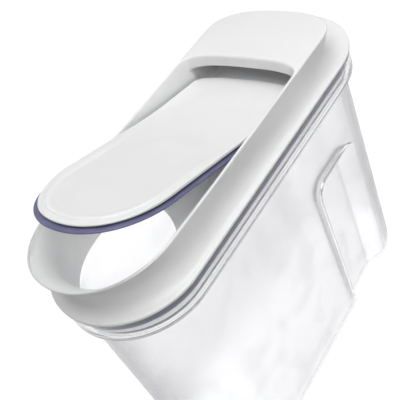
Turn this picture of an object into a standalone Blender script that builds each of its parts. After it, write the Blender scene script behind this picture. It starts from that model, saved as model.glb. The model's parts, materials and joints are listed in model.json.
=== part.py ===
"""Pet food bin: a clear narrow container with a lift-off lid and a rocking pour door.

Frame: +Z up, long axis along Y, the pouring end towards -Y, origin on the floor under
the middle of the container. The door stands open, as far as it goes. Units are metres.
"""
import math

import bmesh
import bpy
from mathutils import Matrix, Vector

MM = 0.001

# ---- driving dimensions ----------------------------------------------------------
# Lid flange, which everything else is inset from
FLANGE_LENGTH = 265.3 * MM
FLANGE_WIDTH = 100.0 * MM
END_ROUNDNESS = 0.956        # depth of a round end as a share of its half width
RIM_HEIGHT = 193.0 * MM      # floor to the flange's underside

# Container
BODY_INSET = 7.2 * MM        # flange edge to the container's wall
CONTAINER_WALL = 2.0 * MM
FLOOR_THICKNESS = 2.5 * MM
BASE_RADIUS = 3.5 * MM
COLLAR_INSET = 1.2 * MM
COLLAR_HEIGHT = 15.9 * MM
COLLAR_WALL = 2.2 * MM
SHOULDER_THICKNESS = 2.0 * MM

# Hand grips pressed into both long sides
GRIP_FROM_REAR = 98.35 * MM  # front of a grip to the flange's rear end
GRIP_LENGTH = 49.7 * MM
GRIP_DEPTH = 6.3 * MM
GRIP_TOP_BELOW_RIM = 62.9 * MM
GRIP_CORNER = 12.0 * MM
GRIP_REAR_SLOPE = 16.0 * MM
GRIP_STEP_DRAFT = 0.7 * MM

# Lid shell
FLANGE_EDGE = 2.4 * MM       # thickness at the flange's rim
NECK_HEIGHT = 13.0 * MM      # where the raised wall is narrowest, above the rim
LIP_HEIGHT = 26.3 * MM       # top of the raised wall, above the rim
SPOUT_RISE = 3.6 * MM        # how much higher the lip is at the pouring end
NECK_SIDE_INSET = 6.4 * MM
NECK_FRONT_INSET = 11.3 * MM
NECK_REAR_INSET = 30.5 * MM
LIP_SIDE_INSET = 4.6 * MM
LIP_FRONT_INSET = -1.1 * MM
LIP_REAR_INSET = 28.0 * MM
PANEL_END_DEPTH = 25.0 * MM
PANEL_END_POWER = 2.6
SPOUT_END_DEPTH = 48.6 * MM
SPOUT_END_POWER = 2.1
LID_WALL = 1.4 * MM
LIP_WALL = 2.0 * MM
PANEL_THICKNESS = 2.0 * MM
APRON_HEIGHT = 8.3 * MM      # downturned edge of the rear panel over the door
APRON_DEPTH = 14.0 * MM      # how far the apron's corners curve forwards
SOFFIT_STEP = 0.7 * MM       # height between rings where the wall meets the panel
SKIRT_DEPTH = 12.5 * MM
SKIRT_WALL = 1.2 * MM
BEAD = 0.5 * MM              # ridge that keeps the gasket on the skirt
GASKET_TOP_BELOW_RIM = 1.4 * MM
GASKET_HEIGHT = 6.0 * MM

# Door
PIVOT_Y = 0.0 * MM
PIVOT_HEIGHT = 11.14 * MM    # above the rim
DOOR_OVER_PIVOT = 9.0 * MM   # door surface above its pivot
DOOR_OPEN_ANGLE = 18.0       # degrees, from closed to the open stop
DOOR_FRONT_CLEARANCE = 15.75 * MM    # door to the inside of the spout's lip
DOOR_SIDE_CLEARANCE = 3.9 * MM       # door to the inside of the side lips
DOOR_REAR_LENGTH = 53.2 * MM
DOOR_FRONT_DEPTH = 44.5 * MM
DOOR_FRONT_POWER = 2.17
DOOR_REAR_DEPTH = 11.0 * MM
DOOR_REAR_POWER = 2.8
DOOR_BEND = 6.0              # degrees, the pressing end leans up by this
DOOR_BEND_RUN = 15.0 * MM
COVER_THICKNESS = 2.2 * MM
LEDGE_WIDTH = 3.8 * MM       # low ledge round the front of the cover
LEDGE_DEPTH = 0.9 * MM
LEDGE_RUN_OUT = (18.0 * MM, 44.0 * MM)   # from the front tip, where the ledge fades out
RISER_RUN = 0.6 * MM
CREST_WIDTH = 0.7 * MM
DISH_RUN = 4.4 * MM          # slope from the crest down to the dished middle
DISH_DEPTH = 0.8 * MM
DISH_RUN_OUT = (56.0 * MM, 121.0 * MM)
SEAL_THICKNESS = 2.1 * MM
SEAL_SIDE_REACH = 2.3 * MM
SEAL_FRONT_REACH = 3.2 * MM
SEAL_REAR_REACH = 0.9 * MM
LINER_INSET = 3.0 * MM
LINER_THICKNESS = 2.7 * MM
PLATEAU_INSET = 8.0 * MM
PIN_RADIUS = 1.6 * MM
BOSS_RADIUS = 4.0 * MM
BOSS_LENGTH = 3.4 * MM
EAR_THICKNESS = 2.6 * MM
APRON_CLEARANCE = 2.6 * MM   # door's pressing end to the panel's apron

# Tray under the door
TRAY_THICKNESS = 2.0 * MM
TRAY_FROM_FRONT = 77.95 * MM # flange's front end to the middle of the pour edge
TRAY_UNDER_DOOR = 1.54 * MM  # level front of the tray to the shut door's liner
TRAY_UNDER_BOSS = 1.07 * MM  # tray to the pivot bosses over it
POUR_EDGE_DEPTH = 33.0 * MM
POUR_EDGE_POWER = 1.55
TRAY_REAR_HEIGHT = -5.0 * MM
STEP_FROM_RIGHT = 12.0 * MM  # flange's right side to the raised step
STEP_WIDTH = 69.5 * MM
STEP_LEAD = 1.0 * MM         # how far the step starts in front of the apron
STEP_SHARE = 0.26            # its length behind the apron, as a share of the space there
STEP_HEIGHT = 3.5 * MM       # above the rim

EDGE = 0.6 * MM              # small bevel along free edges

# Clearances
GAP = 0.3 * MM               # between pieces that touch or run on each other
REST_GAP = 0.4 * MM          # door to its open stop
TRAY_CLEARANCE = 1.0 * MM    # tray to the skirt around it

# Mesh fineness
END_STEPS = 20               # segments round each end of an outline
SIDE_STEPS = 5               # segments along each long side
DOOR_SIDE_STEPS = 6
CIRCLE_STEPS = 20

# ---- values that follow ----------------------------------------------------------
HALF_LENGTH = FLANGE_LENGTH / 2
HALF_WIDTH = FLANGE_WIDTH / 2
GRIP_FRONT_Y = HALF_LENGTH - GRIP_FROM_REAR
DOOR_HALF_WIDTH = HALF_WIDTH - LIP_SIDE_INSET - LIP_WALL - DOOR_SIDE_CLEARANCE
DOOR_FRONT_LENGTH = (PIVOT_Y + HALF_LENGTH - LIP_FRONT_INSET - LIP_WALL
                     - DOOR_FRONT_CLEARANCE)
TRAY_FRONT_Y = -HALF_LENGTH + TRAY_FROM_FRONT
STEP_RIGHT_X = HALF_WIDTH - STEP_FROM_RIGHT
STEP_LEFT_X = STEP_RIGHT_X - STEP_WIDTH
FRONT_RAY_Y = -HALF_LENGTH + HALF_WIDTH
REAR_RAY_Y = PIVOT_Y + DOOR_REAR_LENGTH * 0.75
COLLAR_INNER = COLLAR_INSET + COLLAR_WALL
SKIRT_INNER = NECK_SIDE_INSET + LID_WALL
SKIRT_GROOVE = SKIRT_INNER - SKIRT_WALL
APRON_Y = PIVOT_Y + DOOR_REAR_LENGTH + APRON_CLEARANCE
STEP_START_Y = APRON_Y - STEP_LEAD
STEP_END_Y = APRON_Y + STEP_SHARE * (HALF_LENGTH - APRON_Y)
PIVOT = Vector((0.0, PIVOT_Y, RIM_HEIGHT + PIVOT_HEIGHT))


class Outline:
    """A long closed outline: straight sides with a superellipse end at front and rear."""

    def __init__(self, half_width, front_y, rear_y, front_depth, rear_depth,
                 front_power=2.0, rear_power=2.0):
        self.half_width = half_width
        self.front = (front_y, front_depth, front_power)
        self.rear = (rear_y, rear_depth, rear_power)

    def level(self, x, y):
        """Below 1 inside the outline, 1 on it."""
        across = abs(x) / self.half_width
        front_y, front_depth, front_power = self.front
        rear_y, rear_depth, rear_power = self.rear
        if y < front_y + front_depth:
            along = (front_y + front_depth - y) / front_depth
            return across ** front_power + along ** front_power
        if y > rear_y - rear_depth:
            along = (y - rear_y + rear_depth) / rear_depth
            return across ** rear_power + along ** rear_power
        return across

    def reach(self, origin_y, direction_x, direction_y):
        """Where a ray from (0, origin_y) crosses the outline."""
        near, far = 0.0, 4.0 * (abs(self.front[0]) + abs(self.rear[0]))
        for _ in range(50):
            middle = (near + far) / 2
            if self.level(direction_x * middle, origin_y + direction_y * middle) < 1.0:
                near = middle
            else:
                far = middle
        return direction_x * near, origin_y + direction_y * near

    def points(self, front_ray_y, rear_ray_y, side_steps):
        """Counterclockwise points; the same stations on every outline of one loft."""
        found = []
        for step in range(END_STEPS + 1):
            angle = math.pi * step / END_STEPS
            found.append(self.reach(rear_ray_y, math.cos(angle), math.sin(angle)))
        for step in range(1, side_steps):
            y = rear_ray_y + (front_ray_y - rear_ray_y) * step / side_steps
            found.append(self.reach(y, -1.0, 0.0))
        for step in range(END_STEPS + 1):
            angle = math.pi + math.pi * step / END_STEPS
            found.append(self.reach(front_ray_y, math.cos(angle), math.sin(angle)))
        for step in range(1, side_steps):
            y = front_ray_y + (rear_ray_y - front_ray_y) * step / side_steps
            found.append(self.reach(y, 1.0, 0.0))
        return found


def inset_outline(inset):
    """The flange's outline moved in by the same amount all round."""
    half_width = HALF_WIDTH - inset
    depth = half_width * END_ROUNDNESS
    return Outline(half_width, -HALF_LENGTH + inset, HALF_LENGTH - inset, depth, depth)


def ring(outline, height):
    """One loft ring at a fixed height."""
    points = outline.points(FRONT_RAY_Y, REAR_RAY_Y, SIDE_STEPS)
    return [Vector((x, y, height)) for x, y in points]


# ---- mesh helpers ----------------------------------------------------------------
def material(name, colour, roughness, alpha=1.0, transmission=0.0):
    """A Principled material in one colour."""
    made = bpy.data.materials.new(name)
    made.use_nodes = True
    shader = made.node_tree.nodes["Principled BSDF"]
    shader.inputs["Base Color"].default_value = (*colour, 1.0)
    shader.inputs["Roughness"].default_value = roughness
    shader.inputs["Metallic"].default_value = 0.0
    shader.inputs["Alpha"].default_value = alpha
    shader.inputs["Transmission Weight"].default_value = transmission
    return made


def loft(name, rings, closed_loop=False):
    """Skin a list of rings; capped at both ends, or joined last to first."""
    shape = bmesh.new()
    rows = [[shape.verts.new(point) for point in row] for row in rings]
    count = len(rings[0])
    pairs = list(zip(rows[:-1], rows[1:]))
    if closed_loop:
        pairs.append((rows[-1], rows[0]))
    for lower, upper in pairs:
        for i in range(count):
            j = (i + 1) % count
            shape.faces.new((lower[i], lower[j], upper[j], upper[i]))
    if not closed_loop:
        shape.faces.new(list(reversed(rows[0])))
        shape.faces.new(rows[-1])
    return finish_mesh(name, shape)


def finish_mesh(name, shape):
    """Turn a bmesh into a linked object with outward faces."""
    bmesh.ops.recalc_face_normals(shape, faces=shape.faces)
    mesh = bpy.data.meshes.new(name)
    shape.to_mesh(mesh)
    shape.free()
    made = bpy.data.objects.new(name, mesh)
    bpy.context.scene.collection.objects.link(made)
    return made


def box(name, low, high):
    """A plain block between two corners."""
    shape = bmesh.new()
    bmesh.ops.create_cube(shape, size=1.0)
    low, high = Vector(low), Vector(high)
    for vert in shape.verts:
        vert.co = Vector(low[i] + (vert.co[i] + 0.5) * (high[i] - low[i]) for i in range(3))
    return finish_mesh(name, shape)


def rod_along_x(name, radius, start_x, end_x, y=0.0, z=0.0):
    """A cylinder along X between two places."""
    shape = bmesh.new()
    turn = Matrix.Rotation(math.pi / 2, 4, "Y")
    place = Matrix.Translation(((start_x + end_x) / 2, y, z))
    bmesh.ops.create_cone(shape, cap_ends=True, segments=CIRCLE_STEPS, radius1=radius,
                          radius2=radius, depth=abs(end_x - start_x), matrix=place @ turn)
    return finish_mesh(name, shape)


def as_cutter(tool):
    """Keep a helper out of the model."""
    tool.hide_render = True
    tool.display_type = "WIRE"
    return tool


def boolean(target, tool, operation):
    """Add an exact Boolean that uses a hidden helper."""
    change = target.modifiers.new(operation.lower(), "BOOLEAN")
    change.operation = operation
    change.solver = "EXACT"
    change.object = as_cutter(tool)
    return target


def dress(made, finish):
    """Give an object its material and smooth shading with crisp corners."""
    made.data.materials.append(finish)
    made.data.shade_smooth()
    made.data.set_sharp_from_angle(angle=math.radians(35))
    return made


# ---- container -------------------------------------------------------------------
def grip_block(name, side, margin):
    """Cutter for one grip: a flat floor, a crisp front step and a sloped rear.

    margin grows it inwards on every face, for the bulge it makes inside the wall."""
    surface_x = HALF_WIDTH - BODY_INSET
    floor_x = surface_x - GRIP_DEPTH - margin
    outer_x = surface_x + GRIP_DEPTH
    top = RIM_HEIGHT - GRIP_TOP_BELOW_RIM + margin
    rings = []
    for x in (floor_x, outer_x):
        spread = (x - floor_x) / GRIP_DEPTH
        front = GRIP_FRONT_Y + GRIP_STEP_DRAFT * (1 - spread) - margin
        rear = GRIP_FRONT_Y + GRIP_LENGTH - GRIP_REAR_SLOPE * (1 - spread) + margin
        row = [Vector((side * x, front, -BASE_RADIUS - margin)),
               Vector((side * x, rear, -BASE_RADIUS - margin))]
        for centre_y, start in ((rear - GRIP_CORNER, 0.0), (front + GRIP_CORNER, 0.5)):
            for step in range(7):
                angle = math.pi * (start + 0.5 * step / 6)
                row.append(Vector((side * x, centre_y + GRIP_CORNER * math.cos(angle),
                                   top - GRIP_CORNER + GRIP_CORNER * math.sin(angle))))
        rings.append(row)
    return loft(name, rings)


def make_container(finish):
    """Clear container: straight wall, outward collar, two grips."""
    shoulder = RIM_HEIGHT - COLLAR_HEIGHT
    rim = RIM_HEIGHT - GAP
    rings = []
    for step in range(4):
        angle = math.radians(90 * step / 3)
        rings.append(ring(inset_outline(BODY_INSET + BASE_RADIUS * (1 - math.sin(angle))),
                          BASE_RADIUS * (1 - math.cos(angle))))
    rings.append(ring(inset_outline(BODY_INSET), shoulder - EDGE))
    rings.append(ring(inset_outline(COLLAR_INSET + EDGE), shoulder))
    rings.append(ring(inset_outline(COLLAR_INSET), shoulder + EDGE))
    rings.append(ring(inset_outline(COLLAR_INSET), rim - EDGE))
    rings.append(ring(inset_outline(COLLAR_INSET + EDGE), rim))
    container = loft("container", rings)

    inner = BODY_INSET + CONTAINER_WALL
    inner_radius = BASE_RADIUS - CONTAINER_WALL / 2
    rings = []
    for step in range(4):
        angle = math.radians(90 * step / 3)
        rings.append(ring(inset_outline(inner + inner_radius * (1 - math.sin(angle))),
                          FLOOR_THICKNESS + inner_radius * (1 - math.cos(angle))))
    rings.append(ring(inset_outline(inner), shoulder + SHOULDER_THICKNESS))
    rings.append(ring(inset_outline(COLLAR_INNER), shoulder + SHOULDER_THICKNESS + EDGE))
    rings.append(ring(inset_outline(COLLAR_INNER), rim - EDGE))
    rings.append(ring(inset_outline(COLLAR_INNER - EDGE), rim + EDGE))
    cavity = loft("cavity", rings)
    for side, word in ((1, "right"), (-1, "left")):
        boolean(container, grip_block("grip_" + word, side, 0.0), "DIFFERENCE")
        boolean(cavity, grip_block("grip_wall_" + word, side, CONTAINER_WALL), "DIFFERENCE")
    boolean(container, cavity, "DIFFERENCE")
    return dress(container, finish)


# ---- lid -------------------------------------------------------------------------
def lid_outline(side, front, rear, shape):
    """A lid outline from its three insets; shape runs from 0, the flange, to 1, the lip."""
    half_width = HALF_WIDTH - side
    round_depth = half_width * END_ROUNDNESS
    front_depth = round_depth + (SPOUT_END_DEPTH - round_depth) * shape
    rear_depth = round_depth + (PANEL_END_DEPTH - round_depth) * shape
    return Outline(half_width, -HALF_LENGTH + front, HALF_LENGTH - rear, front_depth,
                   rear_depth, 2.0 + (SPOUT_END_POWER - 2.0) * shape,
                   2.0 + (PANEL_END_POWER - 2.0) * shape)


def spout_rise(y):
    """How much the lip stands up towards the pouring end."""
    return SPOUT_RISE * max(0.0, -y / (HALF_LENGTH - LIP_FRONT_INSET)) ** 2


def lid_ring(outline, height, rise_share=0.0):
    """A ring above the rim that takes its share of the spout's rise."""
    points = outline.points(FRONT_RAY_Y, REAR_RAY_Y, SIDE_STEPS)
    return [Vector((x, y, RIM_HEIGHT + height + rise_share * spout_rise(y)))
            for x, y in points]


def rear_weight(station):
    """0 along the sides and front, 1 round the rear, by a point's number in its ring."""
    if station > END_STEPS:
        return 0.0
    angle = 180.0 * min(station, END_STEPS - station) / END_STEPS
    share = min(max((angle - 8.0) / 12.0, 0.0), 1.0)
    return share * share * (3.0 - 2.0 * share)


def mixed_ring(side_ring, rear_ring):
    """Follows one ring along the sides and front, and the other round the rear."""
    return [a.lerp(b, rear_weight(i)) for i, (a, b) in enumerate(zip(side_ring, rear_ring))]


def neck_insets(share):
    """Side, front and rear insets between the flange's edge, 0, and the neck, 1."""
    return [FLANGE_EDGE + (inset - FLANGE_EDGE) * share
            for inset in (NECK_SIDE_INSET, NECK_FRONT_INSET, NECK_REAR_INSET)]


def flare_insets(share):
    """Side, front and rear insets between the neck, 0, and the lip, 1."""
    lean = share ** 1.8
    pairs = ((NECK_SIDE_INSET, LIP_SIDE_INSET), (NECK_FRONT_INSET, LIP_FRONT_INSET),
             (NECK_REAR_INSET, LIP_REAR_INSET))
    return [low + (high - low) * lean for low, high in pairs]


def opening_outline(half_width, front_inset, rear_y, rear_depth):
    """Outline of the door's opening at some height."""
    return Outline(half_width, -HALF_LENGTH + front_inset, rear_y,
                   SPOUT_END_DEPTH - LIP_WALL, rear_depth, SPOUT_END_POWER, 3.0)


def lid_outer_rings():
    """Flange edge, concave fillet, flared wall and lip, from below."""
    rings = [lid_ring(lid_outline(EDGE, EDGE, EDGE, 0.0), 0.0),
             lid_ring(lid_outline(0.0, 0.0, 0.0, 0.0), EDGE),
             lid_ring(lid_outline(0.0, 0.0, 0.0, 0.0), FLANGE_EDGE - 1.5 * EDGE),
             lid_ring(lid_outline(EDGE, EDGE, EDGE, 0.0), FLANGE_EDGE - EDGE / 2)]
    for step in range(5):
        angle = math.radians(90 * step / 4)
        rings.append(lid_ring(lid_outline(*neck_insets(math.sin(angle)), math.sin(angle) * 0.6),
                              FLANGE_EDGE + (NECK_HEIGHT - FLANGE_EDGE) * (1 - math.cos(angle))))
    for share in (0.35, 0.7, 0.95):
        rings.append(lid_ring(lid_outline(*flare_insets(share), 0.6 + 0.4 * share),
                              NECK_HEIGHT + (LIP_HEIGHT - NECK_HEIGHT) * share, share))
    side, front, rear = flare_insets(1.0)
    rings.append(lid_ring(lid_outline(side + EDGE, front + EDGE, rear + EDGE, 1.0),
                          LIP_HEIGHT, 1.0))
    return rings


def lid_inner_rings():
    """Opening edge, apron, hollow under the panel and the skirt, from above."""
    half = HALF_WIDTH - LIP_SIDE_INSET - LIP_WALL
    neck_half = HALF_WIDTH - NECK_SIDE_INSET - LID_WALL
    apron_low = LIP_HEIGHT - APRON_HEIGHT
    share = (apron_low - NECK_HEIGHT) / (LIP_HEIGHT - NECK_HEIGHT)
    lean = flare_insets(share)
    mouth_front = LIP_FRONT_INSET + LIP_WALL
    low_front = lean[1] + LID_WALL
    low_half = HALF_WIDTH - lean[0] - LID_WALL
    neck_front = NECK_FRONT_INSET + LID_WALL

    top = lid_ring(opening_outline(half, mouth_front, APRON_Y, APRON_DEPTH), LIP_HEIGHT, 1.0)
    apron = lid_ring(opening_outline(low_half, low_front, APRON_Y, APRON_DEPTH),
                     apron_low, share)
    rings = [top, apron]

    # Behind the apron and under the panel round the rear; down the wall elsewhere
    behind = APRON_Y + LIP_WALL
    roof = LIP_HEIGHT - PANEL_THICKNESS
    rear_path = [
        (opening_outline(low_half, low_front, behind, APRON_DEPTH), apron_low),
        (opening_outline(low_half, low_front, behind, APRON_DEPTH), roof),
        (lid_outline(LIP_SIDE_INSET + LIP_WALL, 0.0, LIP_REAR_INSET + LIP_WALL, 1.0), roof),
        (lid_outline(SKIRT_INNER, 0.0, NECK_REAR_INSET + LIP_WALL, 0.6), NECK_HEIGHT - SOFFIT_STEP),
        (lid_outline(SKIRT_INNER, 0.0, NECK_REAR_INSET * 0.72, 0.35), NECK_HEIGHT * 0.32),
        (lid_outline(SKIRT_INNER, 0.0, SKIRT_INNER, 0.0), SOFFIT_STEP),
    ]
    side_heights = (apron_low - SOFFIT_STEP, apron_low - 2 * SOFFIT_STEP,
                    apron_low - 3 * SOFFIT_STEP, NECK_HEIGHT - SOFFIT_STEP,
                    NECK_HEIGHT * 0.5, SOFFIT_STEP)
    for number, ((outline, height), side_height) in enumerate(zip(rear_path, side_heights)):
        run = number / (len(rear_path) - 1)
        drop = max(0.0, 1.0 - run * 2.0)
        half_here = neck_half + (low_half - neck_half) * drop
        front_here = neck_front + (low_front - neck_front) * drop
        if number > 3:
            front_here = neck_front + (SKIRT_INNER - neck_front) * (number - 3) / 2
        side_outline = opening_outline(half_here, front_here, APRON_Y, APRON_DEPTH)
        if number > 3:
            side_outline = Outline(half_here, -HALF_LENGTH + front_here, HALF_LENGTH,
                                   half_here * END_ROUNDNESS, half_here * END_ROUNDNESS)
        rings.append(mixed_ring(lid_ring(side_outline, side_height),
                                lid_ring(outline, height)))
    rings.append(lid_ring(inset_outline(SKIRT_INNER), -SKIRT_DEPTH))
    return rings


def skirt_rings():
    """Outside of the skirt with the gasket's groove, from below."""
    groove_low = -GASKET_TOP_BELOW_RIM - GASKET_HEIGHT - 2 * GAP
    groove = inset_outline(SKIRT_GROOVE)
    bead = inset_outline(SKIRT_GROOVE - BEAD)
    return [lid_ring(bead, -SKIRT_DEPTH), lid_ring(bead, groove_low - BEAD),
            lid_ring(groove, groove_low), lid_ring(groove, 0.0)]


def make_lid_shell(finish):
    """White shell: flange, raised wall, spout, rear panel and skirt in one moulding."""
    rings = lid_outer_rings() + lid_inner_rings() + skirt_rings()
    return dress(loft("lid_shell", rings, closed_loop=True), finish)


def make_lid_gasket(finish):
    """Silicone ring on the skirt with two soft fins against the collar."""
    inner = SKIRT_GROOVE - GAP
    root = inner - 1.2 * MM
    fin = COLLAR_INNER + GAP
    top = -GASKET_TOP_BELOW_RIM
    low = top - GASKET_HEIGHT
    fin_half = 0.6 * MM
    profile = [(inner, low), (root, low)]
    for centre in (low + GASKET_HEIGHT * 0.28, top - GASKET_HEIGHT * 0.28):
        profile += [(root, centre - 2 * fin_half), (fin, centre - fin_half),
                    (fin, centre + fin_half), (root, centre + 2 * fin_half)]
    profile += [(root, top), (inner, top)]
    rings = [lid_ring(inset_outline(inset), height) for inset, height in profile]
    return dress(loft("lid_gasket", rings, closed_loop=True), finish)


# ---- door ------------------------------------------------------------------------
def door_outline(side, front, rear):
    """The door's outline about its pivot, grown by the three amounts."""
    return Outline(DOOR_HALF_WIDTH + side, -DOOR_FRONT_LENGTH - front,
                   DOOR_REAR_LENGTH + rear, DOOR_FRONT_DEPTH + front,
                   DOOR_REAR_DEPTH + rear, DOOR_FRONT_POWER, DOOR_REAR_POWER)


def door_surface(y):
    """Height of the door's surface over its pivot when closed; the rear leans up."""
    slope = math.tan(math.radians(DOOR_BEND))
    if y < -DOOR_BEND_RUN:
        return DOOR_OVER_PIVOT
    if y < DOOR_BEND_RUN:
        return DOOR_OVER_PIVOT + slope * (y + DOOR_BEND_RUN) ** 2 / (4 * DOOR_BEND_RUN)
    return DOOR_OVER_PIVOT + slope * y


def run_out(y, span):
    """1 at the door's front, falling to 0 over a span measured back from the front tip."""
    share = (y + DOOR_FRONT_LENGTH - span[0]) / (span[1] - span[0])
    share = min(max(share, 0.0), 1.0)
    return 1.0 - share * share * (3.0 - 2.0 * share)


def door_ring(grow, depth):
    """A ring of the door at some depth below its surface, in the pivot's frame.

    depth is one number, or a function of y."""
    side, front, rear = grow if isinstance(grow, tuple) else (grow, grow, grow)
    outline = door_outline(side, front, rear)
    front_ray = -DOOR_FRONT_LENGTH + DOOR_FRONT_DEPTH
    rear_ray = DOOR_REAR_LENGTH * 0.5
    points = outline.points(front_ray, rear_ray, DOOR_SIDE_STEPS)
    if not callable(depth):
        return [Vector((x, y, door_surface(y) - depth)) for x, y in points]
    return [Vector((x, y, door_surface(y) - depth(y))) for x, y in points]


def strip_cap(name, rings):
    """Loft whose two caps follow the bend: each is split into cross strips."""
    shape = bmesh.new()
    rows = [[shape.verts.new(point) for point in row] for row in rings]
    count = len(rings[0])
    for lower, upper in zip(rows[:-1], rows[1:]):
        for i in range(count):
            j = (i + 1) % count
            shape.faces.new((lower[i], lower[j], upper[j], upper[i]))
    middle = END_STEPS // 2
    for row, flipped in ((rows[0], True), (rows[-1], False)):
        for step in range(count // 2 - 1):
            a, b = (middle + step) % count, (middle + step + 1) % count
            c, d = (middle - step - 1) % count, (middle - step) % count
            corners = [row[a], row[b], row[c], row[d]]
            if a == d:
                corners = corners[:3]
            shape.faces.new(list(reversed(corners)) if flipped else corners)
        last = (middle + count // 2) % count
        corners = [row[last - 1], row[last], row[(last + 1) % count]]
        shape.faces.new(list(reversed(corners)) if flipped else corners)
    return finish_mesh(name, shape)


def on_door(made, pivot):
    """Hang a piece on the door's pivot."""
    made.parent = pivot
    return made


def ledge_depth(y):
    """How far the cover's ledge lies below its surface."""
    return LEDGE_DEPTH * run_out(y, LEDGE_RUN_OUT)


def make_door_cover(finish, pivot):
    """White top of the door: a ledge round the front, a crest and a dished middle."""
    crest = LEDGE_WIDTH + RISER_RUN
    dish = crest + CREST_WIDTH
    rings = [door_ring(-EDGE, COVER_THICKNESS),
             door_ring(0.0, COVER_THICKNESS * 0.7),
             door_ring(0.0, lambda y: ledge_depth(y) + EDGE * 0.7),
             door_ring(-EDGE, ledge_depth),
             door_ring(-LEDGE_WIDTH, ledge_depth),
             door_ring(-crest, 0.0),
             door_ring(-dish, 0.0),
             door_ring(-dish - DISH_RUN, lambda y: DISH_DEPTH * run_out(y, DISH_RUN_OUT))]
    return on_door(dress(strip_cap("door_cover", rings), finish), pivot)


def liner_low():
    """Depth of the liner's underside below the door's surface."""
    return COVER_THICKNESS + SEAL_THICKNESS + 2 * GAP + LINER_THICKNESS


def boss_span():
    """Inner and outer x of a pivot boss on the liner."""
    outer = DOOR_HALF_WIDTH - LINER_INSET + GAP
    return outer - BOSS_LENGTH, outer


def make_door_liner(finish, pivot):
    """Underside of the door: plate, plateau through the seal and two pivot bosses."""
    seat = COVER_THICKNESS + SEAL_THICKNESS + 2 * GAP
    low = liner_low()
    rings = [door_ring(-LINER_INSET - EDGE, low),
             door_ring(-LINER_INSET, low - EDGE),
             door_ring(-LINER_INSET, seat),
             door_ring(-PLATEAU_INSET, seat),
             door_ring(-PLATEAU_INSET - GAP, COVER_THICKNESS + GAP)]
    liner = strip_cap("door_liner", rings)
    inner, outer = boss_span()
    for side, word in ((1, "right"), (-1, "left")):
        boss = rod_along_x("boss_" + word, BOSS_RADIUS, side * inner, side * outer)
        bore = rod_along_x("bore_" + word, PIN_RADIUS + GAP, side * (inner + GAP),
                           side * (outer + BOSS_LENGTH))
        boolean(liner, on_door(boss, pivot), "UNION")
        boolean(liner, on_door(bore, pivot), "DIFFERENCE")
    return on_door(dress(liner, finish), pivot)


def make_door_gasket(finish, pivot):
    """Silicone ring held between cover and liner, with a lip past the door's edge."""
    top = COVER_THICKNESS + GAP
    low = top + SEAL_THICKNESS
    inner = -PLATEAU_INSET + GAP
    reach = (SEAL_SIDE_REACH, SEAL_FRONT_REACH, SEAL_REAR_REACH)
    lip_root = tuple(0.5 * amount for amount in reach)
    rings = [door_ring(inner, low), door_ring(lip_root, low),
             door_ring(reach, low - 0.4 * MM), door_ring(reach, low - 1.2 * MM),
             door_ring(lip_root, top), door_ring(inner, top)]
    return on_door(dress(loft("door_gasket", rings, closed_loop=True), finish), pivot)


# ---- tray and pins ---------------------------------------------------------------
def liner_rest_point():
    """The lowest rear corner of the open door, which lands on the tray."""
    y = DOOR_REAR_LENGTH - LINER_INSET
    z = door_surface(y) - liner_low()
    angle = math.radians(-DOOR_OPEN_ANGLE)
    return (PIVOT_Y + y * math.cos(angle) - z * math.sin(angle),
            PIVOT_HEIGHT + y * math.sin(angle) + z * math.cos(angle))


def tray_floor(y):
    """Height of the tray's floor over the rim.

    Level at the front, then a fall under the pivot bosses to where the open door
    lands, and a fall from there to the rear."""
    front = PIVOT_HEIGHT + DOOR_OVER_PIVOT - liner_low() - TRAY_UNDER_DOOR
    under_boss = PIVOT_HEIGHT - BOSS_RADIUS - TRAY_UNDER_BOSS
    rest_y, rest_z = liner_rest_point()
    landing = rest_z - REST_GAP
    if y < rest_y:
        share = (y - PIVOT_Y) / (rest_y - PIVOT_Y)
        return min(front, under_boss + (landing - under_boss) * share)
    share = min((y - rest_y) / (HALF_LENGTH - LIP_REAR_INSET - rest_y), 1.0)
    return landing + (TRAY_REAR_HEIGHT - landing) * share


def pour_edge(x, half_width):
    """Y of the tray's front edge: a round notch that opens towards the spout."""
    share = 1.0 - (abs(x) / half_width) ** POUR_EDGE_POWER
    return TRAY_FRONT_Y - POUR_EDGE_DEPTH * (1 - max(share, 0.0) ** (1 / POUR_EDGE_POWER))


def tray_rear(x, outline):
    """Y of the tray's rear edge."""
    rear_y, depth, _ = outline.rear
    across = min(abs(x) / outline.half_width, 1.0)
    return rear_y - depth * (1 - math.sqrt(1 - across * across))


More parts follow.
